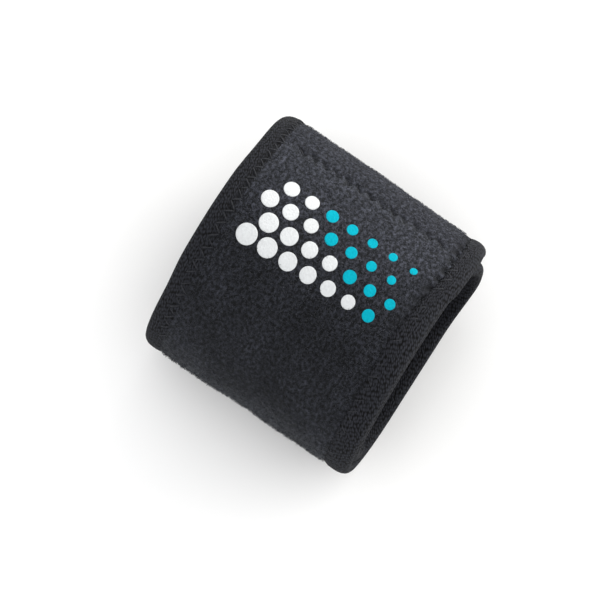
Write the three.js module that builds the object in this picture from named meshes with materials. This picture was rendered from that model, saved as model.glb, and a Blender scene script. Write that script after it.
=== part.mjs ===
// A neoprene wrist support: one strip with bound edges, wound one and two thirds turns into a cuff.
// A hook patch under the outer end grips the loop pile of the layer below it and holds the cuff closed.
// Millimetres, +Z up. The cuff lies on its side: +X runs along the arm towards the hand, and the strip
// winds up the -Y side, over the top and down the +Y side. The origin is under the middle of the cuff.

import * as THREE from 'three';

const { degToRad, lerp, smoothstep } = THREE.MathUtils;

// The strip laid flat: s runs along it from the inner end, x across it, and t through it, outwards positive
const WIDTH = 70;
const CORNER_RADIUS = 9;
const TAPE_WIDTH = 8;
const TAPE_THICKNESS = 0.75;
const CLEARANCE = 0.3;
const RUN_GAP = 0.3;

// Half the thickness of the foam, by its distance from the strip's outer edge: the tape presses it thin
const FOAM_EDGE = TAPE_THICKNESS + CLEARANCE;
const FOAM = [
  { inset: FOAM_EDGE, half: 0.6 },
  { inset: FOAM_EDGE + 0.4, half: 0.9 },
  { inset: TAPE_WIDTH, half: 0.9 },
  { inset: TAPE_WIDTH + 1.6, half: 1.3 },
  { inset: TAPE_WIDTH + 4.2, half: 1.55 },
];
const FOAM_HALF = FOAM.at(-1).half;

// The tape's section over the edge, from its nose to its inner hem: the outer and the inner face
const TAPE_HALF = 1.95;
const TAPE_OUTSIDE = [
  { inset: 0, half: 0 },
  { inset: 0.2, half: 0.85 },
  { inset: 0.85, half: 1.6 },
  { inset: 2, half: TAPE_HALF },
  { inset: 4.7, half: TAPE_HALF },
  { inset: TAPE_WIDTH - 0.7, half: TAPE_HALF },
  { inset: TAPE_WIDTH, half: TAPE_HALF - 0.2 },
];
const TAPE_INSIDE = [
  { inset: TAPE_WIDTH, half: TAPE_HALF - TAPE_THICKNESS },
  { inset: 4.7, half: TAPE_HALF - TAPE_THICKNESS },
  { inset: TAPE_THICKNESS + 0.3, half: TAPE_HALF - TAPE_THICKNESS },
  { inset: TAPE_THICKNESS, half: 0.5 },
];

// The hook patch under the flap
const PATCH = { from: 27, to: 9.5, halfWidth: 25, corner: 3, thickness: 0.6, clearance: 0.27 };

// The wrist's form in the YZ plane: the middle of the inner layer. It has a flat base, two round sides
// and a flatter top, and the normal's direction is 0 towards +Y and 90 at the top.
const SIDE_RADIUS = 18.8;
const TOP_RADIUS = 36.8;
const SHOULDER = 41.9;
const BASE_HALF = (TOP_RADIUS - SIDE_RADIUS) * Math.cos(degToRad(SHOULDER));
const TOP_CENTRE = -(TOP_RADIUS - SIDE_RADIUS) * Math.sin(degToRad(SHOULDER));

// The winding, by the normal's direction where each thing happens. The cuff sits askew on the arm: its
// edges lean towards the forearm on the +Y side.
const LAYER_PITCH = 4.25;
const INNER_END = 235;
const RAMP_FROM = -8;
const RAMP_TO = -88;
const FLAP_END = -14;
const FLAP_LIFT = { height: 0.4, length: 14 };
const LEAN = 0.04;

// The largest step between two stations along the strip
const STEP = { bend: degToRad(10), length: 5, search: 0.1 };
const CORNER_STEPS = 4;

// The form as a closed path from the middle of the base, up the -Y side and over the top
function makeForm() {
  const bottom = degToRad(270);
  const near = degToRad(180 - SHOULDER);
  const far = degToRad(SHOULDER);
  const form = new THREE.Path();
  form.moveTo(0, -SIDE_RADIUS);
  form.lineTo(-BASE_HALF, -SIDE_RADIUS);
  form.absarc(-BASE_HALF, 0, SIDE_RADIUS, bottom, near, true);
  form.absarc(0, TOP_CENTRE, TOP_RADIUS, near, far, true);
  form.absarc(BASE_HALF, 0, SIDE_RADIUS, far, degToRad(-90), true);
  form.lineTo(0, -SIDE_RADIUS);
  return form;
}

const form = makeForm();
const TURN = form.getLength();

// The travel along the form to a point on the -Y side arc, and to one on the +Y side arc
const nearSide = (normal) => BASE_HALF + SIDE_RADIUS * degToRad(270 - normal);
const farSide = (normal) => TURN - BASE_HALF - SIDE_RADIUS * degToRad(normal + 90);

// The middle of the strip as it winds: along the form, then out by one layer where it meets itself
class Winding extends THREE.Curve {
  constructor() {
    super();
    this.arcLengthDivisions = 3000;
    this.start = nearSide(INNER_END);
    this.end = TURN + farSide(FLAP_END);
  }

  getPoint(share, target = new THREE.Vector3()) {
    const travel = lerp(this.start, this.end, share);
    const onForm = (travel / TURN) % 1;
    const point = form.getPoint(onForm);
    const ahead = form.getTangent(onForm);
    const ramp = smoothstep(travel, farSide(RAMP_FROM), farSide(RAMP_TO));
    const lift = smoothstep(travel, this.end - FLAP_LIFT.length, this.end);
    const out = LAYER_PITCH * ramp + FLAP_LIFT.height * lift;
    return target.set(0, point.x - ahead.y * out, point.y + ahead.x * out);
  }
}

const winding = new Winding();
const LENGTH = winding.getLength();

// A point of the flat strip on the wound one
function place(s, x, t) {
  const share = s / LENGTH;
  const point = winding.getPointAt(share);
  const ahead = winding.getTangentAt(share);
  return new THREE.Vector3(x - LEAN * point.y, point.y - ahead.z * t, point.z + ahead.y * t);
}

// Stations along the strip, close together where it bends
function stations(from, to) {
  const list = [from];
  for (let s = from + STEP.search; s < to - STEP.search; s += STEP.search) {
    const last = list.at(-1);
    const bend = winding.getTangentAt(s / LENGTH).angleTo(winding.getTangentAt(last / LENGTH));
    if (bend > STEP.bend || s - last > STEP.length) {
      list.push(s);
    }
  }
  return [...list, to];
}

// A closed solid through rings of points. Its outline is the section, anticlockwise seen from ahead.
function loft(rings, outline) {
  const count = outline.length;
  const index = [];
  for (let ring = 0; ring + 1 < rings.length; ring += 1) {
    for (let j = 0; j < count; j += 1) {
      const a = ring * count + j;
      const b = ring * count + ((j + 1) % count);
      index.push(a, b, a + count, b, b + count, a + count);
    }
  }
  const last = (rings.length - 1) * count;
  for (const [a, b, c] of THREE.ShapeUtils.triangulateShape(outline, [])) {
    index.push(a, c, b);
    index.push(last + a, last + b, last + c);
  }
  const geometry = new THREE.BufferGeometry().setFromPoints(rings.flat());
  geometry.setIndex(index);
  geometry.computeVertexNormals();
  return geometry;
}

// How far a rounded corner takes the long edge in, at a distance from the end
function cornerInset(distance, radius) {
  const reach = Math.max(radius - distance, 0);
  return radius - Math.sqrt(radius * radius - reach * reach);
}

// Distances from an end at which a rounded corner is sampled
function cornerSteps(radius) {
  const steps = Array.from({ length: CORNER_STEPS + 1 }, (_, k) => k / CORNER_STEPS);
  return steps.map((share) => radius * (1 - Math.cos((share * Math.PI) / 2)));
}

// A point's distance from the strip's outer edge
function edgeDistance(s, x) {
  const fromEnd = Math.min(s, LENGTH - s);
  const fromSide = WIDTH / 2 - Math.abs(x);
  if (fromEnd >= CORNER_RADIUS || fromSide >= CORNER_RADIUS) {
    return Math.min(fromEnd, fromSide);
  }
  return CORNER_RADIUS - Math.hypot(CORNER_RADIUS - fromEnd, CORNER_RADIUS - fromSide);
}

// Half the foam's thickness at a distance from the edge, straight between the rows of its table
function foamHalf(inset) {
  const next = FOAM.findIndex((row) => row.inset > inset);
  if (next === -1) {
    return FOAM_HALF;
  }
  const b = FOAM[next];
  const a = FOAM[Math.max(next - 1, 0)];
  return b === a ? a.half : lerp(a.half, b.half, (inset - a.inset) / (b.inset - a.inset));
}

// A flat ring across the strip: the columns of its outer face from the hand's side, then the inner face
function acrossRing(s, columns, outerFace, innerFace) {
  const outer = columns.map((x) => place(s, x, outerFace(s, x)));
  const inner = columns.map((x) => place(s, x, innerFace(s, x)));
  return [...inner, ...outer.reverse()];
}

const columnOutline = (count) => [
  ...Array.from({ length: count }, (_, k) => new THREE.Vector2(k, 0)),
  ...Array.from({ length: count }, (_, k) => new THREE.Vector2(count - 1 - k, 1)),
];

// The foam strip with its round corners
function wrapBody() {
  const radius = CORNER_RADIUS - FOAM_EDGE;
  const halfWidth = WIDTH / 2 - FOAM_EDGE;
  const half = FOAM.map((row) => WIDTH / 2 - row.inset);
  const columns = [...half, 0, ...half.map((x) => -x).reverse()];
  const ends = [...cornerSteps(radius).map((step) => step + FOAM_EDGE), FOAM.at(-1).inset];
  const clear = ends.at(-1);
  const rows = [
    ...ends.slice(0, -1),
    ...stations(clear, LENGTH - clear),
    ...ends.slice(0, -1).reverse().map((s) => LENGTH - s),
  ];
  const face = (s, x) => foamHalf(edgeDistance(s, x));
  const rings = rows.map((s) => {
    const fromEnd = Math.min(s, LENGTH - s) - FOAM_EDGE;
    const narrow = 1 - cornerInset(fromEnd, radius) / halfWidth;
    return acrossRing(s, columns.map((x) => x * narrow), face, (row, x) => -face(row, x));
  });
  return loft(rings, columnOutline(columns.length));
}

// The tape's closed section in edge coordinates: inset from the edge, and t through the strip
function tapeSection() {
  const point = (row, sign) => new THREE.Vector2(row.inset, sign * row.half);
  const [nose, ...flanks] = TAPE_OUTSIDE;
  const half = [...flanks, ...TAPE_INSIDE];
  const below = half.map((row) => point(row, -1));
  const above = half.map((row) => point(row, 1)).reverse();
  return [point(nose, 1), ...below, ...above];
}

// The tape along a rim: each rim point has its place on the flat strip and its direction inwards
function binding(rim) {
  const section = tapeSection();
  const rings = rim.map(({ s, x, inS, inX }) =>
    section.map((p) => place(s + p.x * inS, x + p.x * inX, p.y)),
  );
  return loft(rings, section);
}

// The rim along a long edge between the rounded ends, and the rim round one corner
function longRim(side) {
  const first = CORNER_RADIUS + RUN_GAP / 2;
  const clear = FOAM.at(-1).inset;
  const list = [first, ...stations(clear, LENGTH - clear), LENGTH - first];
  const rim = list.map((s) => ({ s, x: (side * WIDTH) / 2, inS: 0, inX: -side }));
  return side > 0 ? rim : rim.reverse();
}

function cornerRim(s, x, from, to) {
  return Array.from({ length: CORNER_STEPS + 1 }, (_, k) => {
    const turn = degToRad(lerp(from, to, k / CORNER_STEPS));
    const outS = Math.cos(turn);
    const outX = Math.sin(turn);
    return { s: s + CORNER_RADIUS * outS, x: x + CORNER_RADIUS * outX, inS: -outS, inX: -outX };
  });
}

const CORNER_X = WIDTH / 2 - CORNER_RADIUS;

function flapRim() {
  const s = LENGTH - CORNER_RADIUS;
  return [...cornerRim(s, CORNER_X, 90, 0), ...cornerRim(s, -CORNER_X, 0, -90)];
}

function innerRim() {
  const s = CORNER_RADIUS;
  return [...cornerRim(s, -CORNER_X, -90, -180), ...cornerRim(s, CORNER_X, 180, 90)];
}

// The hook patch, flat against the inner face of the flap
function hookPatch() {
  const from = LENGTH - PATCH.from;
  const to = LENGTH - PATCH.to;
  const steps = cornerSteps(PATCH.corner);
  const rows = [
    ...steps.slice(0, -1).map((step) => from + step),
    ...stations(from + PATCH.corner, to - PATCH.corner),
    ...steps.slice(0, -1).reverse().map((step) => to - step),
  ];
  const top = -(FOAM_HALF + PATCH.clearance);
  const rings = rows.map((s) => {
    const half = PATCH.halfWidth - cornerInset(Math.min(s - from, to - s), PATCH.corner);
    return acrossRing(s, [half, -half], () => top, () => top - PATCH.thickness);
  });
  return loft(rings, columnOutline(2));
}

const PIECES = [
  { name: 'wrap_body', geometry: wrapBody(), color: 0x1d1e20, roughness: 0.95 },
  { name: 'binding_hand_edge', geometry: binding(longRim(1)), color: 0x17181a, roughness: 0.85 },
  { name: 'binding_forearm_edge', geometry: binding(longRim(-1)), color: 0x17181a, roughness: 0.85 },
  { name: 'binding_flap_end', geometry: binding(flapRim()), color: 0x17181a, roughness: 0.85 },
  { name: 'binding_inner_end', geometry: binding(innerRim()), color: 0x17181a, roughness: 0.85 },
  { name: 'hook_patch', geometry: hookPatch(), color: 0x101113, roughness: 0.6 },
];

const cuff = new THREE.Group();
for (const { name, geometry, color, roughness } of PIECES) {
  const material = new THREE.MeshStandardMaterial({ color, roughness, metalness: 0 });
  const mesh = new THREE.Mesh(geometry, material);
  mesh.name = name;
  cuff.add(mesh);
}

// The origin goes under the middle of the cuff, on the surface that it lies on
const box = new THREE.Box3().setFromObject(cuff);
const middle = box.getCenter(new THREE.Vector3());
cuff.position.set(-middle.x, -middle.y, -box.min.z);

export default cuff;
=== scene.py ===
import math

import bpy
import numpy as np
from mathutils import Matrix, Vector
from mathutils.kdtree import KDTree


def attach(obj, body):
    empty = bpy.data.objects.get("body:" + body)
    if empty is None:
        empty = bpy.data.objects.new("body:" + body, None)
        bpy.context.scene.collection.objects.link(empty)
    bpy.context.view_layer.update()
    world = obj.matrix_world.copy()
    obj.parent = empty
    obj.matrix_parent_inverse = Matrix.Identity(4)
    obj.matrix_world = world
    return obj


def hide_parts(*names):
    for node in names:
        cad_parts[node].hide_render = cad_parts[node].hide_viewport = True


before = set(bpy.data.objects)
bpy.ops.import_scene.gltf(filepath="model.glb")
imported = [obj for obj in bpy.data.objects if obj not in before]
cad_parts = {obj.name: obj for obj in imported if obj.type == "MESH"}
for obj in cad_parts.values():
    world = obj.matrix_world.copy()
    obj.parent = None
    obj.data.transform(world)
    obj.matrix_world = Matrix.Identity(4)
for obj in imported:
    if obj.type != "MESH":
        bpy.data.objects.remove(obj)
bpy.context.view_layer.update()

MM = 0.001
RNG = np.random.default_rng(20)

# The flat strip in millimetres, as in the part's source: s along it, x across it, t through it, outwards
WIDTH = 70.0
CORNER_RADIUS = 9.0
CORNER_X = WIDTH / 2 - CORNER_RADIUS
TAPE_WIDTH = 8.0
TAPE_HALF = 1.95
FOAM_EDGE = 1.05
FOAM_BEVEL = 0.45
FOAM_RIM = 0.55
FOAM_PRESSED = 0.9
FOAM_HALF = 1.55
FOAM_RISE_EARLY = 0.3
FOAM_RISE = 4.6
FOAM_RISE_POWER = 2.2

# The wrist's form and the winding on it, as in the part's source
SIDE_RADIUS = 18.8
TOP_RADIUS = 36.8
SHOULDER = 41.9
BASE_HALF = (TOP_RADIUS - SIDE_RADIUS) * math.cos(math.radians(SHOULDER))
TOP_CENTRE = -(TOP_RADIUS - SIDE_RADIUS) * math.sin(math.radians(SHOULDER))
SIDE_ARC = SIDE_RADIUS * math.radians(90 + SHOULDER)
TOP_ARC = TOP_RADIUS * math.radians(180 - 2 * SHOULDER)
TURN = 2 * (BASE_HALF + SIDE_ARC) + TOP_ARC
LAYER_PITCH = 4.25
INNER_END = 235
RAMP_FROM = -8
RAMP_TO = -88
FLAP_END = -14
FLAP_LIFT = 0.4
FLAP_LIFT_LENGTH = 14.0
LEAN = 0.04
WINDING_SAMPLES = 20000
BOX_SAMPLES = 2000
BOX_WALL_INSET = 2.0

# The soft unevenness of the cuff: wavelengths and heights of the waves in its wall
WAVES = ((52.0, 0.17), (37.0, 0.13), (25.0, 0.08), (16.0, 0.05))
WAVES_FADE = (5.0, 16.0)

# The near side of the wall: a shallow dent in the middle of its width, fuller towards the hand
NEAR_SIDE = (22.0, 32.0)
NEAR_DENT = 0.55
NEAR_DENT_WIDTH = 8.0
NEAR_FULLER = 0.6
NEAR_FULLER_RUN = (17.0, 28.0)

# The hand's edge stands out by the flap and on the layer under its end: how far, and from where to where
FLARE_ACROSS = (5.0, 33.0)
FLAP_FLARE = 1.2
FLAP_FLARE_RUN = (-46.0, -36.0, -26.0, -8.0)
UNDER_FLARE = 2.0
UNDER_FLARE_RUN = (-20.0, -10.0, 2.0, 28.0)

# The forearm's edge stands out a little beside the print
FOREARM_FLARE = 0.55
FOREARM_FLARE_RUN = (-86.0, -72.0, -46.0, -30.0)

# The elastic tape draws the rim in towards the wrist, and the padded face crowns between the hems
CURL_DEPTH = 0.9
CURL_FLAP = 0.8
CURL_WIDTH = 6.5
CROWN = 0.3

# Across the strip towards the forearm: where the forearm's side begins and where it is fully reached
FOREARM_SIDE = (-5.0, 15.0)

# How much narrower the tape is sewn on the forearm's edge, on the hand's edge, and there by the flap
HEM_FOREARM = 1.5
HEM_HAND = 0.4
HEM_FLAP = 2.1
HEM_FLAP_RUN = (62.0, 42.0)
HEM_EASE = 1.5
HEM_ACROSS = (0.0, 20.0)
HEM_DRAWS = (12.0, 30.0)

# The blotchy valley along the hem of the flap on the hand's side
HEM_VALLEY_DEPTH = 0.42
HEM_VALLEY_WIDTH = 1.5
HEM_VALLEY_INSET = TAPE_WIDTH + 1.2
HEM_VALLEY_ACROSS = (10.0, 20.0)
BLOTCH_MEAN = 0.6
BLOTCH_TURN = 1.5
BLOTCH_WANDER = 1.3
BLOTCH_WANDER_TURN = 0.55

# On the forearm's edge by the flap, the stitches draw the tape in along its hem
TAPE_VALLEY_DEPTH = 0.25
TAPE_VALLEY_WIDTH = 1.3
TAPE_VALLEY_INSET = TAPE_WIDTH - 1.8
TAPE_VALLEY_RUN = (75.0, 45.0)
# Painted shade in that valley of the tape
TAPE_VALLEY_PAINTED_SHADE = 0.5

# On the forearm's edge the body swells up closer to the hem
HEM_SWELL = 1.6

# How deep the hem's stitches pull the face in: on the forearm's edge, on the hand's edge, there by the flap
HEM_SOFTER = 0.45
HEM_ALONG = 0.55
HEM_DEEPER = 1.25
HEM_PULL_FADE = (TAPE_WIDTH - 1.2, TAPE_WIDTH + 0.4)

# The relief of the open faces: soft lumps, the crown's rise, the seam's valley and the lining's groove
LUMP_WAVES = 14
LUMP_TURN = 0.75
LUMPS_OUTSIDE = 0.16
LUMPS_INSIDE = 0.05
LUMPS_INSIDE_SHIFT = 40.0
LUMPS_RISE = (TAPE_WIDTH, TAPE_WIDTH + 3.0)
CROWN_RISE = (TAPE_WIDTH, 20.0)
CROWN_BARE = (2.0, 14.0)
SEAM_VALLEY_DEPTH = 0.14
SEAM_VALLEY_WIDTH = 1.7
SEAM_VALLEY_PAST = 1.0
SEAM_VALLEY_FADE = 2.0
GROOVE_DEPTH = 0.1
GROOVE_WIDTH = 0.8
GROOVE_INSET = TAPE_WIDTH + 1.0

# The stitches
ZIGZAG_STEP = 1.93
ZIGZAG_WANDER = 0.13
HEM_ROW = TAPE_WIDTH - 1.5
HEM_REACH = 1.4
SEAM_REACH = 1.0
SEAM_OUTSIDE = 0.4
SEAM_LIE = -0.36
THREAD_RADIUS = 0.21
THREAD_SIDES = 6
THREAD_SUNK = (0.12, 0.1)

# One stitch from hole to hole: shares of its way, and its lift and its share of the thread's radius there
STITCH_SHARES = (0.0, 0.14, 0.32, 0.5, 0.68, 0.86, 1.0)
STITCH_LIFTS = (-0.5, -0.12, 0.0, 0.04, 0.0, -0.12, -0.5)
STITCH_TAPER = (0.7, 0.95, 1.0, 1.0, 1.0, 0.95, 0.7)

# How deep and how wide the thread pulls the face in: at needle holes, under tight legs and under slack legs
HEM_PULLS = ((0.42, 0.9), (0.2, 0.4), (0.12, 0.4))
SEAM_PULLS = ((0.16, 0.7), (0.58, 0.52), (0.02, 0.45))
HEM_VARIES = 0.6
SEAM_VARIES = 0.3
PULL_REACH = 3.2
LEG_POINTS = 10
LEG_SPAN = (0.08, 0.92)
SHALLOW_HOLES = 0.4
TAPE_PULLED = 0.45

# The hook patch under the flap, measured back from the flap's end
PATCH_FROM = 27.0
PATCH_TO = 9.5
PATCH_HALF_WIDTH = 25.0
PATCH_CORNER = 3.0
PATCH_TOP = FOAM_HALF + 0.27
PATCH_THICKNESS = 0.55
PATCH_BEVEL = (0.15, 0.1)
PATCH_MIDDLE = 2.9
PATCH_CORNER_POINTS = 7
HOOK_MARGIN = 1.6
HOOK_STEPS = (1.3, 1.5)
HOOK_RADIUS = 0.07
HOOK_SIDES = 4

# One hook: how far its points bend along the strip and stand off the patch
HOOK_BEND = (0.0, 0.02, 0.16, 0.34)
HOOK_STAND = (-0.1, 0.14, 0.22, 0.12)

# The wrap's mesh: insets of its columns under the tape, and steps across and along the strip
COLUMNS_UNDER_TAPE = (3.5, 5.6, 6.8)
COLUMNS_BY_HEM = (TAPE_WIDTH - 0.7, TAPE_WIDTH + 3.4)
COLUMNS_OPEN_FROM = TAPE_WIDTH + 4.0
STEP_BY_HEM = 0.41
STEP_ACROSS = 0.54
ROWS_INNER_END = 13.0
ROWS_EXPOSED_EARLY = 4.0
ROWS_BY_SEAM = 1.8
STEP_INNER_END = 0.8
STEP_HIDDEN = 2.4
STEP_EXPOSED = 0.58
STEP_BY_SEAM = 0.33
LINING_FLAT_SHIFT = 30.0

# The tape's mesh: its step along the rim, and the waves of its width by height, length and phase
TAPE_STEP = 0.5
TAPE_WANDER = ((0.014, 9.1, 0.0), (0.01, 4.3, 1.0))

# The pile's loops: their size, how far some stray, and how they lie on the base and on the pressed pile
LOOPS_PER_PIECE = 9800
LOOP_PIECES = 2
LOOP_RADIUS = 0.038
LOOP_SIDES = 3
LOOP_MARGIN = 0.2
LOOPS_EARLY = 1.0
LOOP_SPANS = (0.45, 1.0)
LOOP_RISES = (0.18, 0.58)
LOOP_SWAY = 0.12
LOOPS_OFF_DOTS = 0.25
STRAY_SHARE = 0.09
STRAY_RISE = 0.3
BASE_RISE = 0.36
PRESSED_RISE = 0.55

# One loop: shares of its span, and of its rise and its sway there
LOOP_SHARES = (0.0, 0.3, 0.72, 1.0)
LOOP_HEIGHTS = (-0.08, 0.85, 1.0, -0.08)
LOOP_ASIDE = (0.0, 1.0, 0.8, 0.0)

# The printed dots
DOT_PITCH = 6.8
DOT_ROW_PITCH = DOT_PITCH * 0.87
DOT_STAGGER = 0.5
DOT_SHRINK = (0.62, 0.38)
DOT_WHITE_SHARE = 0.52
DOT_ROWS = 4
DOT_COLUMNS = 7
DOT_LARGEST = 3.1
DOT_SMALLEST = 1.1
DOT_FILM = 0.08
DOT_SIDES = 28
PRINT_MIDDLE = 50.0

# A dot's rings, from the middle of its upper face to the middle of its lower one: shares of radius and film
DOT_RINGS = ((0.5, 1.0), (0.86, 0.95), (0.97, 0.65), (1.0, -0.6), (0.5, -1.0))

# The camera, as the photograph was taken
CAMERA_AZIMUTH = 34.447
CAMERA_ELEVATION = 79.148
CAMERA_LENS = 500.0
CAMERA_DISTANCE = 2.357
CAMERA_TARGET = (0.0, 0.0, 0.0277)
CAMERA_ASIDE = (-0.00468, -0.00238)
SENSOR_WIDTH = 36.0
CLIP_END = 50.0

# The light: white all round, and one broad low lamp on the side where the flap ends
WORLD_STRENGTH = 1.3
KEY_AZIMUTH = CAMERA_AZIMUTH + 124
KEY_ELEVATION = 9
KEY_DISTANCE = 1.6
KEY_SIZE = (2.0, 0.44)
KEY_ENERGY = 33.0
KEY_COLOUR = (1.0, 0.98, 0.93)
FLOOR_HALF = 4.0

# Dark and light shades of the materials
FLOOR_SHADES = ((0.86, 0.86, 0.86), (0.88, 0.88, 0.88))
PILE_SHADES = ((0.0024, 0.0026, 0.0032), (0.0203, 0.0217, 0.0283))
PRESSED_SHADES = ((0.0032, 0.0034, 0.0042), (0.0181, 0.0194, 0.0252))
FIBRE_SHADES = ((0.0065, 0.007, 0.0091), (0.0271, 0.0288, 0.0371))
LINING_SHADES = ((0.0079, 0.0082, 0.0092), (0.0157, 0.0164, 0.0183))
TAPE_SHADES = ((0.0004, 0.0004, 0.0005), (0.0228, 0.0243, 0.0307))
THREAD_SHADES = ((0.0107, 0.0113, 0.0137), (0.0284, 0.0302, 0.0357))
HOOK_SHADES = ((0.0066, 0.0066, 0.0079), (0.0131, 0.0131, 0.015))
WHITE_SHADES = ((0.54, 0.55, 0.56), (0.63, 0.65, 0.66))
TEAL_SHADES = ((0.002, 0.28, 0.37), (0.003, 0.36, 0.455))
SHEEN_TINT = (0.86, 0.92, 1.0, 1.0)
CLOTH_SPECULAR = 0.165
INK_SPECULAR = 0.02

# The pile's look: its grain and random patches, painted shade where stitches pull it in, a painted
# highlight towards the flap's end, and lighter sides
PILE_MIX = (0.65, 0.35)
PILE_TUFTS = 0.25
PILE_GRAIN = (0.455, 0.62)
# Painted shade: the pile darkens in the hollows where stitches pull it in
PILE_PAINTED_SHADE = (0.5, 0.03)
# Painted highlight: the pile is lightened towards the flap's end, where the wall turns to the light
PAINTED_HIGHLIGHT_RUN = (66.0, 35.0)
# The pile is a little lighter towards the strip's sides
LIGHTER_SIDES = (11.0, 24.0)
LIGHTER_SIDES_BY = 0.14
NAP_PATCHES = 1.2
# How the random patches and the painted highlight spread, and the tones they scale the pile's colour by
TONE_AND_HIGHLIGHT_SPREAD = (0.35, 1.85)
TONE_AND_HIGHLIGHT_SCALES = ((0.84, 0.84, 0.84), (3.1, 3.1, 3.1))

# The tape's knit: the slant and the size of its stitches, and how its ribs and its fine grain are mixed in
KNIT_SLANT = 26.0
KNIT_STITCH = (1.3, 0.6, 1.0)
KNIT_TOP = 0.75
KNIT_RIBS = 0.12
KNIT_FINE = 0.45
KNIT_GRAIN = (0.38, 0.92)

# The fine grain of the lining and the print, and how the lining's courses stand off
FINE_GRAIN = 0.4
COURSES_LIFT = 0.6


def smoothstep(value, low, high):
    share = np.clip((value - low) / (high - low), 0.0, 1.0)
    return share * share * (3.0 - 2.0 * share)


def bell(value, width):
    return np.exp(-(value / width) ** 2)


def running_total(steps):
    return np.concatenate([[0.0], np.cumsum(steps)])


# The winding

def near_side(normal):
    return BASE_HALF + SIDE_RADIUS * math.radians(270 - normal)


def far_side(normal):
    return TURN - BASE_HALF - SIDE_RADIUS * math.radians(normal + 90)


def form_points(travel):
    """Points on the wrist's form by the travel along it, and the directions of its outward normals."""
    along = np.mod(travel, TURN)
    marks = np.cumsum([BASE_HALF, SIDE_ARC, TOP_ARC, SIDE_ARC])
    runs = [along < mark for mark in marks]
    down = np.full_like(along, math.radians(270))
    near = math.radians(270) - (along - marks[0]) / SIDE_RADIUS
    top = math.radians(180 - SHOULDER) - (along - marks[1]) / TOP_RADIUS
    far = math.radians(SHOULDER) - (along - marks[2]) / SIDE_RADIUS
    base = np.full_like(along, -SIDE_RADIUS)
    y_near = SIDE_RADIUS * np.cos(near) - BASE_HALF
    y_far = SIDE_RADIUS * np.cos(far) + BASE_HALF
    y = np.select(runs, [-along, y_near, TOP_RADIUS * np.cos(top), y_far], TURN - along)
    z_top = TOP_CENTRE + TOP_RADIUS * np.sin(top)
    z = np.select(runs, [base, SIDE_RADIUS * np.sin(near), z_top, SIDE_RADIUS * np.sin(far)], base)
    normal = np.select(runs, [down, near, top, far], down)
    return y, z, normal


def wind():
    """The middle of the strip as it winds: its points, its directions and the length along it."""
    start = near_side(INNER_END)
    end = TURN + far_side(FLAP_END)
    travel = np.linspace(start, end, WINDING_SAMPLES)
    y, z, normal = form_points(travel)
    out = LAYER_PITCH * smoothstep(travel, far_side(RAMP_FROM), far_side(RAMP_TO))
    out += FLAP_LIFT * smoothstep(travel, end - FLAP_LIFT_LENGTH, end)
    y = y + np.cos(normal) * out
    z = z + np.sin(normal) * out
    length = running_total(np.hypot(np.diff(y), np.diff(z)))
    return y, z, np.gradient(y, length), np.gradient(z, length), length


CURVE_Y, CURVE_Z, AHEAD_Y, AHEAD_Z, CURVE_LENGTH = wind()
LENGTH = CURVE_LENGTH[-1]
EXPOSED_FROM = far_side(FLAP_END) - near_side(INNER_END)
SEAM_AT = LENGTH - PATCH_FROM - SEAM_OUTSIDE
BASE_DROP = SIDE_RADIUS + LAYER_PITCH + TAPE_HALF


def make_waves():
    waves = []
    for wavelength, height in WAVES:
        direction = RNG.normal(size=3)
        direction /= np.linalg.norm(direction)
        waves.append((direction * 2 * math.pi / wavelength, RNG.uniform(0, 2 * math.pi), height))
    return waves


WALL_WAVES = make_waves()


def off_base(z):
    """0 on the flat base and 1 well above it."""
    return smoothstep(z + BASE_DROP, *WAVES_FADE)


def unevenness(x, y, z):
    """How far the wall stands out at a place of the cuff. It dies away towards the flat base."""
    total = np.zeros(np.broadcast(x, y, z).shape)
    for (a, b, c), phase, height in WALL_WAVES:
        total += height * np.sin(a * x + b * y + c * z + phase)
    near = smoothstep(-y, *NEAR_SIDE)
    total += near * NEAR_FULLER * smoothstep(x, *NEAR_FULLER_RUN)
    total -= near * NEAR_DENT * bell(x, NEAR_DENT_WIDTH)
    return total * off_base(z)


def inset_of(s, x):
    """How far a flat point lies in from the strip's outer edge, round its corners too."""
    from_end = np.minimum(s, LENGTH - s)
    from_side = WIDTH / 2 - np.abs(x)
    reach_end = np.maximum(CORNER_RADIUS - from_end, 0)
    reach_side = np.maximum(CORNER_RADIUS - from_side, 0)
    corner = (reach_end > 0) & (reach_side > 0)
    rounded = CORNER_RADIUS - np.hypot(reach_end, reach_side)
    return np.where(corner, rounded, np.minimum(from_end, from_side))


def from_flap(run):
    return [LENGTH - mark for mark in run]


def near_flap(s):
    """0 along the strip and 1 by the flap."""
    return smoothstep(s, *from_flap(HEM_FLAP_RUN))


def on_forearm(x):
    """0 on the hand's side of the strip and 1 on the forearm's edge."""
    return smoothstep(-x, *FOREARM_SIDE)


def curl(s, x):
    """How far the rim is drawn in at a flat point. The forearm's edge is drawn in deeper by the flap."""
    everywhere = CURL_DEPTH * np.clip(1 - inset_of(s, x) / CURL_WIDTH, 0.0, 1.0) ** 2
    from_side = WIDTH / 2 - np.abs(x)
    deeper = CURL_FLAP * np.clip(1 - from_side / CURL_WIDTH, 0.0, 1.0) ** 2
    return everywhere + deeper * near_flap(s) * on_forearm(x)


def rise_and_fall(value, run):
    """1 between the second and the third mark of a run, and 0 outside the first and the last."""
    return smoothstep(value, *run[:2]) * (1 - smoothstep(value, *run[2:]))


def flare(s, x):
    """How far the edges stand out to the side at a flat point, as a move along x."""
    flap = FLAP_FLARE * rise_and_fall(s - LENGTH, FLAP_FLARE_RUN)
    under = UNDER_FLARE * rise_and_fall(s - EXPOSED_FROM, UNDER_FLARE_RUN)
    forearm = FOREARM_FLARE * rise_and_fall(s - LENGTH, FOREARM_FLARE_RUN)
    return (flap + under) * smoothstep(x, *FLARE_ACROSS) - forearm * smoothstep(-x, *FLARE_ACROSS)


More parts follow.
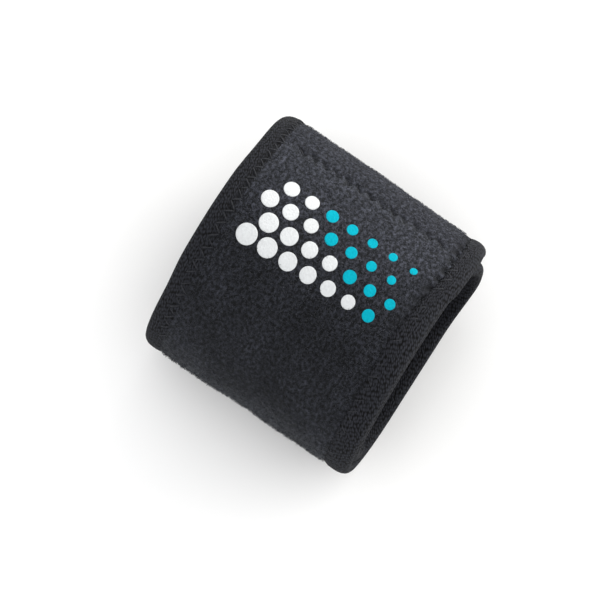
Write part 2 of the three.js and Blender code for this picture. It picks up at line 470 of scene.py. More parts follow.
def place_plain(s, x, t, soft):
    """Points of the wound strip before it is set on its base. The wall is even where soft is 0."""
    s, x, t = np.broadcast_arrays(s, x, t)
    y = np.interp(s, CURVE_LENGTH, CURVE_Y)
    z = np.interp(s, CURVE_LENGTH, CURVE_Z)
    ahead_y = np.interp(s, CURVE_LENGTH, AHEAD_Y)
    ahead_z = np.interp(s, CURVE_LENGTH, AHEAD_Z)
    out = t + soft * (unevenness(x, y, z) - curl(s, x))
    aside = x + soft * flare(s, x) - LEAN * y
    return np.stack([aside, y - ahead_z * out, z + ahead_y * out], axis=-1)


def find_shift():
    """The move that puts the middle of the cuff's box over the origin and its base on the floor."""
    s = np.linspace(0, LENGTH, BOX_SAMPLES)
    rims = [place_plain(s, side * WIDTH / 2, 0.0, 0.0) for side in (-1, 1)]
    walls = [place_plain(s, side * (WIDTH / 2 - BOX_WALL_INSET), TAPE_HALF, 0.0) for side in (-1, 1)]
    points = np.concatenate(rims + walls)
    middle = (points.min(axis=0) + points.max(axis=0)) / 2
    return np.array([-middle[0], -middle[1], BASE_DROP])


SHIFT = find_shift()


def place(s, x, t):
    return (place_plain(s, x, t, 1.0) + SHIFT) * MM


# The strip's outline

def outline_length(inset):
    straights = 2 * (LENGTH - 2 * CORNER_RADIUS) + 4 * CORNER_X
    return straights + 2 * math.pi * (CORNER_RADIUS - inset)


def outline(inset, distance):
    """Flat points on the strip's outline drawn in by an inset, and their directions inwards.
    The distance runs from the hand's edge at the inner end round by the flap."""
    radius = CORNER_RADIUS - inset
    long_run = LENGTH - 2 * CORNER_RADIUS
    short_run = 2 * CORNER_X
    bend = radius * math.pi / 2
    lengths = 2 * [long_run, bend, short_run, bend]
    starts = running_total(lengths)
    distance = np.mod(distance, starts[-1])
    run = np.clip(np.searchsorted(starts, distance, side="right") - 1, 0, 7)
    share = (distance - starts[run]) / np.array(lengths)[run]
    high = LENGTH - CORNER_RADIUS
    corner_s = np.array([high, high, CORNER_RADIUS, CORNER_RADIUS])
    corner_x = np.array([1, -1, -1, 1]) * CORNER_X
    corner = run // 2
    turning = run % 2
    before = corner - 1 + turning
    turn = np.radians(90 - 90 * corner - 90.0 * share * turning)
    out_s = np.cos(turn)
    out_x = np.sin(turn)
    s = corner_s[before] + (corner_s[corner] - corner_s[before]) * share + radius * out_s
    x = corner_x[before] + (corner_x[corner] - corner_x[before]) * share + radius * out_x
    return s, x, -out_s, -out_x


# The hem

def hem_narrower(s, x):
    """How much nearer to the rim the hem lies at a flat place than the tape's full width."""
    hand = HEM_HAND + (HEM_FLAP - HEM_HAND) * near_flap(s)
    return hand * smoothstep(x, *HEM_ACROSS) + HEM_FOREARM * smoothstep(-x, *HEM_ACROSS)


def hem_inset(s, x):
    """The inset, measured so that the hem lies at the tape's full width where the tape is narrower too."""
    inset = inset_of(s, x)
    narrower = hem_narrower(s, x)
    return inset + narrower * smoothstep(inset, HEM_EASE, TAPE_WIDTH - narrower)


def drawn_to_hem(s, x):
    """A flat x moved outwards with the hem."""
    inset = WIDTH / 2 - np.abs(x)
    share = smoothstep(inset, HEM_EASE, TAPE_WIDTH) * (1 - smoothstep(inset, *HEM_DRAWS))
    return x + np.sign(x) * hem_narrower(s, x) * share


def tape_valley(s, x, inset):
    """How deep the hem's stitches draw the tape in on its outer face."""
    across = bell(inset - TAPE_VALLEY_INSET, TAPE_VALLEY_WIDTH)
    along = smoothstep(s, *from_flap(TAPE_VALLEY_RUN))
    return TAPE_VALLEY_DEPTH * across * along * on_forearm(x)


# The stitches' places on the flat strip

def zigzag(s, x, in_s, in_x, reach):
    """The ends of the legs of a zigzag along a row of flat points, to either side of the row."""
    side = np.where(np.arange(len(s)) % 2 == 0, -reach, reach)
    points = np.stack([s + side * in_s, x + side * in_x], axis=-1)
    points += RNG.normal(0, ZIGZAG_WANDER, points.shape)
    return points[:-1], points[1:]


def hem_row():
    """The zigzag that holds the tape: it lies on the tape, just outside its hem."""
    length = outline_length(HEM_ROW)
    steps = 2 * round(length / ZIGZAG_STEP / 2)
    s, x, in_s, in_x = outline(HEM_ROW, np.linspace(0, length, steps + 1))
    out = hem_narrower(s, x) * smoothstep(HEM_ROW, HEM_EASE, TAPE_WIDTH)
    return zigzag(s - out * in_s, x - out * in_x, in_s, in_x, HEM_REACH)


def seam_row():
    """The seam that holds the hook patch and shows on the outer face."""
    half = PATCH_HALF_WIDTH - SEAM_REACH
    count = round(2 * half / ZIGZAG_STEP)
    x = np.linspace(-half, half, count + 1)
    s = np.full_like(x, SEAM_AT)
    return zigzag(s, x, -np.ones_like(x), np.zeros_like(x), SEAM_REACH)


HEM_FROM, HEM_TO = hem_row()
SEAM_FROM, SEAM_TO = seam_row()


def make_tree(points):
    tree = KDTree(len(points))
    for index, (s, x) in enumerate(points):
        tree.insert((s, x, 0.0), index)
    tree.balance()
    return tree


def along_legs(starts, ends, shares):
    """Points at some shares of the way along each leg of a row of stitches."""
    share = shares[None, :, None]
    return starts[:, None, :] * (1 - share) + ends[:, None, :] * share


def leg_points(starts, ends):
    """Points along the legs of stitches, clear of the needle holes."""
    return along_legs(starts, ends, np.linspace(*LEG_SPAN, LEG_POINTS)).reshape(-1, 2)


def make_row(starts, ends, pulls, varies):
    """A row of stitches as what pulls the face in: its needle holes, its tight legs and its slack legs.
    Each stitch pulls with a strength of its own, and the holes on the open face are the deeper ones."""
    holes = np.concatenate([starts, ends[-1:]])
    hole_shares = np.where(np.arange(len(holes)) % 2 == 0, SHALLOW_HOLES, 1.0)
    tight_legs = leg_points(starts[::2], ends[::2])
    slack_legs = leg_points(starts[1::2], ends[1::2])
    kinds = ((holes, 1), (tight_legs, LEG_POINTS), (slack_legs, LEG_POINTS))
    row = []
    for (points, each), (depth, width) in zip(kinds, pulls):
        varied = RNG.uniform(1 - varies, 1 + varies, len(points) // each)
        strength = depth * np.repeat(varied, each)
        row.append([make_tree(points), strength, width])
    row[0][1] = row[0][1] * hole_shares
    return row


HEM_STITCHING = make_row(HEM_FROM, HEM_TO, HEM_PULLS, HEM_VARIES)
SEAM_STITCHING = make_row(SEAM_FROM, SEAM_TO, SEAM_PULLS, SEAM_VARIES)


def pulled_in(row, s, x, near):
    """How deep a row of stitches pulls the face in, at the flat places that are near it."""
    total = np.zeros(np.shape(s))
    flat = list(zip(s[near], x[near]))
    if not flat:
        return total
    for tree, strength, width in row:
        found = np.array([tree.find((a, b, 0.0))[1:] for a, b in flat])
        number = found[:, 0].astype(int)
        total[near] += strength[number] * bell(found[:, 1], width)
    return total


# The foam wall's two faces

def foam_half(inset):
    """Half the foam's thickness: thin under the tape, full a few millimetres inside its hem."""
    edge = np.interp(inset, [FOAM_EDGE, FOAM_EDGE + FOAM_BEVEL], [FOAM_RIM, FOAM_PRESSED])
    rise = np.clip((inset - TAPE_WIDTH + FOAM_RISE_EARLY) / FOAM_RISE, 0.0, 1.0)
    return edge + (FOAM_HALF - FOAM_PRESSED) * (1 - (1 - rise) ** FOAM_RISE_POWER)


LUMPS = [(RNG.normal(size=2), RNG.uniform(0, 2 * math.pi)) for _ in range(LUMP_WAVES)]


def lumps(s, x):
    """Small soft lumps of the laminated face, a few millimetres across."""
    total = np.zeros(np.shape(s))
    for (a, b), phase in LUMPS:
        total += np.sin(LUMP_TURN * (a * s + b * x) + phase)
    return total / len(LUMPS)


def seam_valley(s, x):
    """How deep the valley along the hook patch's seam is."""
    along = bell(s - SEAM_AT, SEAM_VALLEY_WIDTH)
    before_end = PATCH_HALF_WIDTH + SEAM_VALLEY_PAST - np.abs(x)
    return SEAM_VALLEY_DEPTH * along * smoothstep(before_end, 0.0, SEAM_VALLEY_FADE)


def free_of_base(s):
    """0 where the strip lies on the flat base and 1 well above it."""
    return off_base(np.interp(s, CURVE_LENGTH, CURVE_Z))


def hem_valley(s, x, inset):
    """How deep the blotchy valley is along the hem of the flap on the hand's side."""
    turn = BLOTCH_TURN * s + BLOTCH_WANDER * np.sin(BLOTCH_WANDER_TURN * s)
    blotches = BLOTCH_MEAN + (1 - BLOTCH_MEAN) * np.sin(turn)
    across = bell(inset - HEM_VALLEY_INSET, HEM_VALLEY_WIDTH)
    return HEM_VALLEY_DEPTH * blotches * across * near_flap(s) * smoothstep(x, *HEM_VALLEY_ACROSS)


def pulled_face(s, x):
    """How deep the stitches pull the outer face in. The pile's material paints shade in the hollows by this
    depth.
    """
    inset = hem_inset(s, x)
    hem = pulled_in(HEM_STITCHING, s, x, np.abs(inset - TAPE_WIDTH) < PULL_REACH)
    hem *= smoothstep(inset, *HEM_PULL_FADE)
    deeper = HEM_ALONG + (HEM_DEEPER - HEM_ALONG) * near_flap(s)
    hem *= deeper + (HEM_SOFTER - deeper) * on_forearm(x)
    hem += hem_valley(s, x, inset)
    return hem + pulled_in(SEAM_STITCHING, s, x, np.abs(s - SEAM_AT) < PULL_REACH)


def outer_face(s, x):
    """How far the outer face lies from the middle of the wall."""
    inset = hem_inset(s, x)
    relief = LUMPS_OUTSIDE * lumps(s, x) * smoothstep(inset, *LUMPS_RISE) - seam_valley(s, x)
    bare = smoothstep(s - EXPOSED_FROM, *CROWN_BARE) * free_of_base(s)
    relief += CROWN * smoothstep(inset, *CROWN_RISE) * bare
    return foam_half(inset + HEM_SWELL * on_forearm(x)) + relief - pulled_face(s, x)


def inner_face(s, x):
    """How far the inner face lies from the middle of the wall."""
    inset = hem_inset(s, x)
    relief = LUMPS_INSIDE * lumps(s + LUMPS_INSIDE_SHIFT, x) * smoothstep(inset, *LUMPS_RISE)
    groove = GROOVE_DEPTH * bell(inset - GROOVE_INSET, GROOVE_WIDTH)
    return foam_half(inset) + relief - groove


# Mesh building

def unit(vectors):
    return vectors / np.linalg.norm(vectors, axis=-1, keepdims=True)


def flat_points(s, x, t):
    return np.stack(np.broadcast_arrays(s, x, t), axis=-1).reshape(-1, 3)


def grid_faces(rows, columns, first=0, close_rows=False, close_columns=False):
    row = np.arange(rows if close_rows else rows - 1)[:, None]
    column = np.arange(columns if close_columns else columns - 1)[None, :]
    next_row = (row + 1) % rows
    next_column = (column + 1) % columns
    corners = [
        row * columns + column,
        row * columns + next_column,
        next_row * columns + next_column,
        next_row * columns + column,
    ]
    return first + np.stack(corners, axis=-1).reshape(-1, 4)


def signed_volume(vertices, faces):
    total = 0.0
    for size in {len(face) for face in faces}:
        index = np.array([face for face in faces if len(face) == size])
        corner = vertices[index]
        for k in range(1, size - 1):
            total += np.einsum("ij,ij->", corner[:, 0], np.cross(corner[:, k], corner[:, k + 1]))
    return total


def add_object(name, data):
    made = bpy.data.objects.new(name, data)
    bpy.context.scene.collection.objects.link(made)
    return made


def make_piece(name, vertices, faces, materials, flat, face_material=None, pulled=None):
    """A smooth closed piece that rides on the cuff. Its flat places are kept for its material, and so is
    how deep its face is pulled in, by which its material paints shade."""
    vertices = np.asarray(vertices).reshape(-1, 3)
    faces = [list(map(int, face)) for face in faces]
    if signed_volume(vertices, faces) < 0:
        faces = [face[::-1] for face in faces]
    mesh = bpy.data.meshes.new(name)
    mesh.from_pydata(vertices.tolist(), [], faces)
    mesh.polygons.foreach_set("use_smooth", [True] * len(mesh.polygons))
    for material in materials:
        mesh.materials.append(material)
    if face_material is not None:
        mesh.polygons.foreach_set("material_index", face_material)
    attribute = mesh.attributes.new("flat", "FLOAT_VECTOR", "POINT")
    attribute.data.foreach_set("vector", np.asarray(flat, dtype=np.float32).ravel())
    if pulled is not None:
        attribute = mesh.attributes.new("pulled", "FLOAT", "POINT")
        attribute.data.foreach_set("value", np.asarray(pulled, dtype=np.float32).ravel())
    mesh.update()
    piece = add_object(name, mesh)
    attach(piece, "root")
    return piece


def tubes(centres, outward, radii, sides):
    """Closed tubes along rows of points. centres and outward are (tubes, points, 3), radii (points,)."""
    count, points, _ = centres.shape
    ahead = unit(np.gradient(centres, axis=1))
    across = unit(np.cross(ahead, outward))
    up = np.cross(across, ahead)
    angle = np.linspace(0, 2 * math.pi, sides, endpoint=False)
    ring = np.cos(angle)[:, None] * up[:, :, None, :] + np.sin(angle)[:, None] * across[:, :, None, :]
    vertices = centres[:, :, None, :] + ring * np.asarray(radii)[None, :, None, None]
    wall = grid_faces(points, sides, close_columns=True)
    starts = np.arange(count) * points * sides
    walls = (starts[:, None, None] + wall[None]).reshape(-1, 4)
    cap = np.arange(sides)
    first_caps = starts[:, None] + cap[::-1]
    last_caps = starts[:, None] + (points - 1) * sides + cap
    faces = walls.tolist() + first_caps.tolist() + last_caps.tolist()
    return vertices.reshape(-1, 3), faces


def outward_at(s, x):
    """Directions out of the wall at flat points."""
    return unit(place(s, x, 1.0) - place(s, x, 0.0))


# Materials

def is_socket(value):
    return isinstance(value, bpy.types.NodeSocket)


def set_inputs(node, inputs):
    for key, value in inputs.items():
        if is_socket(value):
            node.id_data.links.new(value, node.inputs[key])
        else:
            node.inputs[key].default_value = value


def add_node(beside, kind, inputs, **settings):
    """A new node in the tree of another node or of a socket."""
    made = beside.id_data.nodes.new(kind)
    for key, value in settings.items():
        setattr(made, key, value)
    set_inputs(made, inputs)
    return made


def read_attribute(beside, name, kind):
    return add_node(beside, "ShaderNodeAttribute", {}, attribute_name=name).outputs[kind]


def start_material(name):
    material = bpy.data.materials.new(name)
    material.use_nodes = True
    return material, material.node_tree.nodes["Principled BSDF"]


def start_cloth(name):
    """A material, its shader, and the flat places that its cloth is woven on."""
    material, shader = start_material(name)
    return material, shader, read_attribute(shader, "flat", "Vector")


def noise(vector, scale, detail=2.0, roughness=0.5):
    inputs = {"Vector": vector, "Scale": scale, "Detail": detail, "Roughness": roughness}
    return add_node(vector, "ShaderNodeTexNoise", inputs).outputs["Fac"]


def math_node(operation, a, b):
    beside = a if is_socket(a) else b
    return add_node(beside, "ShaderNodeMath", {0: a, 1: b}, operation=operation).outputs[0]


def times(a, b):
    return math_node("MULTIPLY", a, b)


def plus(a, b):
    return math_node("ADD", a, b)


def ramp(value, low, high, kind="LINEAR"):
    inputs = {"Value": value, "From Min": low, "From Max": high}
    return add_node(value, "ShaderNodeMapRange", inputs, interpolation_type=kind).outputs["Result"]


def blend_colours(share, first, second, kind="MIX"):
    beside = share if is_socket(share) else first
    ends = [end if is_socket(end) else (*end, 1.0) for end in (first, second)]
    inputs = {0: share, 6: ends[0], 7: ends[1]}
    return add_node(beside, "ShaderNodeMix", inputs, data_type="RGBA", blend_type=kind).outputs[2]


def wavering_bands(vector, direction, scale, distortion, detail=2.0, detail_scale=1.1):
    inputs = {"Vector": vector, "Scale": scale, "Distortion": distortion}
    inputs.update({"Detail": detail, "Detail Scale": detail_scale})
    return add_node(vector, "ShaderNodeTexWave", inputs, bands_direction=direction).outputs["Fac"]


def finish_cloth(shader, colour, height, relief, roughness, sheen=0.0, sheen_roughness=0.4):
    bump = add_node(shader, "ShaderNodeBump", {"Height": height, "Distance": relief, "Strength": 1.0})
    set_inputs(shader, {
        "Base Color": colour,
        "Normal": bump.outputs["Normal"],
        "Roughness": roughness,
        "Specular IOR Level": CLOTH_SPECULAR,
        "Sheen Weight": sheen,
        "Sheen Roughness": sheen_roughness,
        "Sheen Tint": SHEEN_TINT,
    })


def pile_material(name, shades, relief, sheen):
    """Grainy pile in random patches, with painted shade in the hollows where stitches pull it in, a painted
    highlight towards the flap's end, and a little lighter towards the strip's sides.
    """
    material, shader, flat = start_cloth(name)
    grain = noise(flat, scale=0.95, detail=3.0, roughness=0.6)
    fine = noise(flat, scale=2.6, roughness=0.6)
    patches = noise(flat, scale=0.09)
    tufts = add_node(flat, "ShaderNodeTexVoronoi", {"Vector": flat, "Scale": 1.15}).outputs["Distance"]
    places = add_node(flat, "ShaderNodeSeparateXYZ", {"Vector": flat})
    # painted highlight towards the flap's end
    painted_highlight = ramp(places.outputs["X"], *from_flap(PAINTED_HIGHLIGHT_RUN), "SMOOTHSTEP")
    from_middle = math_node("ABSOLUTE", places.outputs["Y"], 0.0)
    # lighter towards the strip's sides
    beside = times(ramp(from_middle, *LIGHTER_SIDES), LIGHTER_SIDES_BY)
    tone_and_painted_light = plus(times(patches, NAP_PATCHES), math_node("MAXIMUM", painted_highlight, beside))
    mixed = plus(times(grain, PILE_MIX[0]), times(fine, PILE_MIX[1]))
    # grain times painted shade in the hollows where stitches pull the pile in
    grain_and_painted_shade = times(ramp(mixed, *PILE_GRAIN), ramp(read_attribute(flat, "pulled", "Fac"), *PILE_PAINTED_SHADE))
    shade = blend_colours(grain_and_painted_shade, *shades)
    # random patches of tone together with the painted highlight
    tone_and_highlight = blend_colours(ramp(tone_and_painted_light, *TONE_AND_HIGHLIGHT_SPREAD), *TONE_AND_HIGHLIGHT_SCALES)
    colour = blend_colours(1.0, shade, tone_and_highlight, "MULTIPLY")
    height = math_node("SUBTRACT", mixed, times(tufts, PILE_TUFTS))
    finish_cloth(shader, colour, height, relief, roughness=0.95, sheen=sheen, sheen_roughness=0.5)
    return material


def lining_material():
    """A smooth knit of wales and courses."""
    material, shader, flat = start_cloth("smooth_knit_lining")
    wales = wavering_bands(flat, "Y", scale=0.55, distortion=1.2, detail=2.0, detail_scale=1.5)
    courses = wavering_bands(flat, "X", scale=0.7, distortion=0.8, detail=1.0, detail_scale=1.0)
    fine = noise(flat, scale=2.4, detail=3.0, roughness=0.6)
    knit = times(wales, plus(courses, COURSES_LIFT))
    colour = blend_colours(ramp(knit, low=0.0, high=1.4), *LINING_SHADES)
    height = plus(knit, times(fine, FINE_GRAIN))
    finish_cloth(shader, colour, height, relief=0.00012, roughness=0.82, sheen=0.13)
    return material


def tape_material():
    """Fine ribs along the tape, each a row of small uneven slanted stitches, with painted shade in the
    valley by the hem on the forearm's edge by the flap.
    """
    material, shader, flat = start_cloth("ribbed_knit_tape")
    ribs = wavering_bands(flat, "Y", scale=0.29, distortion=0.8)
    slanted = {"Vector": flat, "Rotation": (0.0, 0.0, math.radians(KNIT_SLANT)), "Scale": KNIT_STITCH}
    turned = add_node(flat, "ShaderNodeMapping", slanted, vector_type="TEXTURE").outputs["Vector"]
    cells = {"Vector": turned, "Scale": 1.08, "Randomness": 0.62}
    gaps = add_node(flat, "ShaderNodeTexVoronoi", cells, voronoi_dimensions="2D").outputs["Distance"]
    stitches = math_node("SUBTRACT", KNIT_TOP, gaps)
    fine = noise(flat, scale=0.9, roughness=0.6)
    grain = plus(times(fine, KNIT_FINE), stitches)
    knit = plus(times(ribs, KNIT_RIBS), grain)
    # painted shade in the tape's valley by the hem
    valley_painted_shade = ramp(read_attribute(flat, "pulled", "Fac"), low=TAPE_VALLEY_PAINTED_SHADE, high=0.0)
    grain_and_painted_shade = times(ramp(knit, *KNIT_GRAIN), valley_painted_shade)
    colour = blend_colours(grain_and_painted_shade, *TAPE_SHADES)
    finish_cloth(shader, colour, knit, relief=0.0003, roughness=0.92, sheen_roughness=0.45)
    return material


def thread_material():
    material, shader, flat = start_cloth("sewing_thread")
    fibres = noise(flat, scale=5.0)
    colour = blend_colours(ramp(fibres, low=0.3, high=0.7), *THREAD_SHADES)
    finish_cloth(shader, colour, fibres, relief=0.0001, roughness=0.62, sheen=0.07)
    return material


def hook_material():
    """Moulded hooks on a woven back."""
    material, shader, flat = start_cloth("moulded_nylon_hooks")
    weave = add_node(flat, "ShaderNodeTexChecker", {"Vector": flat, "Scale": 1.4}).outputs["Fac"]
    fine = noise(flat, scale=2.0)
    colour = blend_colours(ramp(fine, low=0.3, high=0.7), *HOOK_SHADES)
    finish_cloth(shader, colour, plus(weave, fine), relief=0.00012, roughness=0.5)
    return material


def print_material(name, shades):
    material, shader, flat = start_cloth(name)
    grain = noise(flat, scale=1.6, detail=3.0, roughness=0.6)
    fine = noise(flat, scale=4.5, roughness=0.6)
    colour = blend_colours(ramp(grain, low=0.3, high=0.72), *shades)
    height = plus(grain, times(fine, FINE_GRAIN))
    finish_cloth(shader, colour, height, relief=0.0002, roughness=0.6)
    shader.inputs["Specular IOR Level"].default_value = INK_SPECULAR
    return material


# The pile's materials carry painted shade in stitch hollows and a painted highlight towards the flap's end
PILE = pile_material("loop_pile_painted_light", PILE_SHADES, relief=0.0004, sheen=0.09)
PRESSED_PILE = pile_material("pressed_loop_pile", PRESSED_SHADES, relief=0.0004, sheen=0.0)
FIBRES = pile_material("loop_fibres", FIBRE_SHADES, relief=0.0001, sheen=0.155)
LINING = lining_material()
TAPE = tape_material()
THREAD = thread_material()
HOOKS = hook_material()
WHITE_INK = print_material("white_ink", WHITE_SHADES)
TEAL_INK = print_material("teal_ink", TEAL_SHADES)


# The neoprene strip: its columns and rows, and its two faces with the rim between them

def spread(low, high, step):
    return np.linspace(low, high, max(2, round((high - low) / step) + 1))


def body_columns():
    insets = np.concatenate([
        [FOAM_EDGE, FOAM_EDGE + FOAM_BEVEL, *COLUMNS_UNDER_TAPE],
        spread(*COLUMNS_BY_HEM, STEP_BY_HEM),
        spread(COLUMNS_OPEN_FROM, WIDTH / 2, STEP_ACROSS),
    ])
    half = WIDTH / 2 - insets
    return np.concatenate([half, -half[-2::-1]])[::-1]


def body_rows():
    exposed = EXPOSED_FROM - ROWS_EXPOSED_EARLY
    seam_from = SEAM_AT - ROWS_BY_SEAM
    seam_to = SEAM_AT + ROWS_BY_SEAM
    return np.concatenate([
        spread(FOAM_EDGE, ROWS_INNER_END, STEP_INNER_END)[:-1],
        spread(ROWS_INNER_END, exposed, STEP_HIDDEN)[:-1],
        spread(exposed, seam_from, STEP_EXPOSED)[:-1],
        spread(seam_from, seam_to, STEP_BY_SEAM)[:-1],
        spread(seam_to, LENGTH - FOAM_EDGE, STEP_EXPOSED),
    ])


def make_wrap():
    columns = body_columns()
    rows = body_rows()
    radius = CORNER_RADIUS - FOAM_EDGE
    from_end = np.minimum(rows, LENGTH - rows) - FOAM_EDGE
    reach = np.maximum(radius - from_end, 0)
    narrow = radius - np.sqrt(np.maximum(radius ** 2 - reach ** 2, 0))
    half_width = WIDTH / 2 - FOAM_EDGE
    x = columns[None, :] * (1 - narrow / half_width)[:, None]
    s = np.broadcast_to(rows[:, None], x.shape)
    x = drawn_to_hem(s, x)
    outer = place(s, x, outer_face(s, x))
    inner = place(s, x, -inner_face(s, x))
    outer_faces = grid_faces(*x.shape)
    inner_faces = grid_faces(*x.shape, first=x.size)[:, ::-1]
    index = np.arange(x.size).reshape(x.shape)
    rim = np.concatenate([index[0, :-1], index[:-1, -1], index[-1, :0:-1], index[:0:-1, 0]])
    after = np.roll(rim, -1)
    rim_faces = np.stack([after, rim, rim + x.size, after + x.size], axis=-1)
    faces = np.concatenate([outer_faces, inner_faces, rim_faces])
    side_faces = len(outer_faces)
    pressed = np.repeat(rows[:-1] > SEAM_AT, len(columns) - 1)
    lined = np.zeros(len(faces), dtype=np.int32)
    lined[:side_faces] = np.where(pressed, 2, 0)
    lined[side_faces:2 * side_faces] = 1
    flat_outer = flat_points(s, x, 0.0)
    flat_inner = flat_outer + np.array([0.0, 0.0, LINING_FLAT_SHIFT])
    # The outer face's pulled-in depth is kept for the pile's painted shade
    piece = make_piece(
        "neoprene_wrap",
        np.concatenate([outer.reshape(-1, 3), inner.reshape(-1, 3)]),
        faces,
        [PILE, LINING, PRESSED_PILE],
        np.concatenate([flat_outer, flat_inner]),
        lined,
        np.concatenate([pulled_face(s, x).ravel(), np.zeros(x.size)]),
    )
    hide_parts("wrap_body")
    return piece


# The edge tape: one length of ribbed tape folded over the whole rim

# Insets and heights of its outer and its inner side
TAPE_PROFILE = (
    (0.0, 0.0), (0.1, 0.55), (0.4, 1.12), (0.95, 1.56), (1.8, 1.83), (2.9, 1.9), (4.0, 1.88), (4.7, 1.83),
    (5.2, 1.78), (5.7, 1.72), (6.2, 1.65), (6.7, 1.57), (7.2, 1.47), (7.7, 1.33), (8.0, 1.1),
)
TAPE_LINING = ((7.95, 0.98), (4.5, 1.02), (0.75, 0.6))


def make_tape():
    """Its profile swept round the rim and drawn in by the stitches."""
    round_length = outline_length(0.0)
    stations = round(round_length / TAPE_STEP)
    distance = np.arange(stations) * round_length / stations
    s, x, in_s, in_x = outline(0.0, distance)
    outside = np.array(TAPE_PROFILE)
    inside = np.array(TAPE_LINING)
    above = np.concatenate([outside, inside])
    below = above[:0:-1] * np.array([1.0, -1.0])
    profile = np.concatenate([above, below])
    showing = np.concatenate([np.ones(len(outside)), np.zeros(len(inside))])
    showing = np.concatenate([showing, showing[:0:-1]])
    inset, rise = profile.T[:, None]
    wander = np.ones(stations)
    for height, length, phase in TAPE_WANDER:
        wander += height * np.sin(distance / length + phase)
    narrower = hem_narrower(s, x)[:, None] * smoothstep(inset, HEM_EASE, TAPE_WIDTH)
    flat_inset = inset * wander[:, None] - narrower
    flat_s = s[:, None] + flat_inset * in_s[:, None]
    flat_x = x[:, None] + flat_inset * in_x[:, None]
    sewn = np.broadcast_to((showing[None, :] > 0) & (inset > HEM_ROW - PULL_REACH), flat_s.shape)
    outside_up = showing[None, :] * (rise > 0)
    valley = tape_valley(flat_s, flat_x, inset) * outside_up
    pulled = TAPE_PULLED * pulled_in(HEM_STITCHING, flat_s, flat_x, sewn) + valley
    t = np.sign(rise) * (np.abs(rise) - pulled)
    girth = running_total(np.hypot(*np.diff(profile, axis=0).T))
    flat = flat_points(distance[:, None], girth[None, :], 0.0)
    faces = grid_faces(stations, len(profile), close_rows=True, close_columns=True)
    points = place(flat_s, flat_x, t)
    # the valley's depth is kept for the tape's painted shade
    piece = make_piece("edge_tape", points, faces, [TAPE], flat, pulled=valley)
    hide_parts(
        "binding_hand_edge", "binding_forearm_edge", "binding_flap_end", "binding_inner_end"
    )
    return piece


# The thread

def thread_heights(s, x, side):
    """The height of the thread's path over the tape, its hem and the body."""
    inset = hem_inset(s, x)
    profile = np.array(TAPE_PROFILE)
    tape = np.interp(inset, profile[:, 0], profile[:, 1], right=0.0)
    tape -= tape_valley(s, x, inset) * (side > 0)
    body = foam_half(inset + HEM_SWELL * on_forearm(x) * (side > 0))
    return side * np.where(inset < TAPE_WIDTH, np.maximum(tape, body), body)


def make_stitches(name, starts, ends, side, lie=0.0):
    """A row of thread stitches on the outer face (side 1) or the inner one (side -1)."""
    share = np.array(STITCH_SHARES)
    lift = np.array(STITCH_LIFTS) + lie
    s, x = np.moveaxis(along_legs(starts, ends, share), -1, 0)
    first = thread_heights(s[:, :1], x[:, :1], side)
    last = thread_heights(s[:, -1:], x[:, -1:], side)
    straight = side * (first * (1 - share) + last * share)
    sunk = np.abs(RNG.normal(0, THREAD_SUNK[0], (len(s), 1)))
    sunk += THREAD_SUNK[1] * (np.arange(len(s)) % 2 == 0)[:, None]
    t = side * (straight + lift - sunk)
    centres = place(s, x, t)
    radii = THREAD_RADIUS * np.array(STITCH_TAPER) * MM
    vertices, faces = tubes(centres, outward_at(s, x), radii, THREAD_SIDES)
    flat = np.repeat(flat_points(s, x, t), THREAD_SIDES, axis=0)
    return make_piece(name, vertices, faces, [THREAD], flat)


# The hook patch

def patch_outline(shrink):
    """Flat points round the patch, with round corners."""
    middle = LENGTH - (PATCH_FROM + PATCH_TO) / 2
    half_s = (PATCH_FROM - PATCH_TO) / 2 - PATCH_CORNER
    half_x = PATCH_HALF_WIDTH - PATCH_CORNER
    turns = [np.linspace(90 * k, 90 * k + 90, PATCH_CORNER_POINTS) for k in range(4)]
    turn = np.radians(np.concatenate(turns))
    quarter = np.repeat(np.arange(4), PATCH_CORNER_POINTS)
    sign_s = np.array([1, -1, -1, 1])[quarter]
    sign_x = np.array([1, 1, -1, -1])[quarter]
    radius = PATCH_CORNER - shrink
    return middle + sign_s * half_s + radius * np.cos(turn), sign_x * half_x + radius * np.sin(turn)


def make_hooks():
    """The vertices, faces and flat places of the rows of hooks."""
    hook_s, hook_x = np.meshgrid(
        spread(LENGTH - PATCH_FROM + HOOK_MARGIN, LENGTH - PATCH_TO - HOOK_MARGIN, HOOK_STEPS[0]),
        spread(-PATCH_HALF_WIDTH + HOOK_MARGIN, PATCH_HALF_WIDTH - HOOK_MARGIN, HOOK_STEPS[1]),
        indexing="ij",
    )
    points = len(HOOK_BEND)
    s = hook_s.reshape(-1, 1) + np.array(HOOK_BEND)
    x = np.repeat(hook_x.reshape(-1, 1), points, axis=1)
    centres = place(s, x, -(PATCH_TOP + PATCH_THICKNESS + np.array(HOOK_STAND)))
    across = np.broadcast_to(np.array([1.0, 0.0, 0.0]), centres.shape)
    vertices, faces = tubes(centres, across, np.full(points, HOOK_RADIUS * MM), HOOK_SIDES)
    return vertices, faces, np.repeat(flat_points(s, x, 0.0), HOOK_SIDES, axis=0)


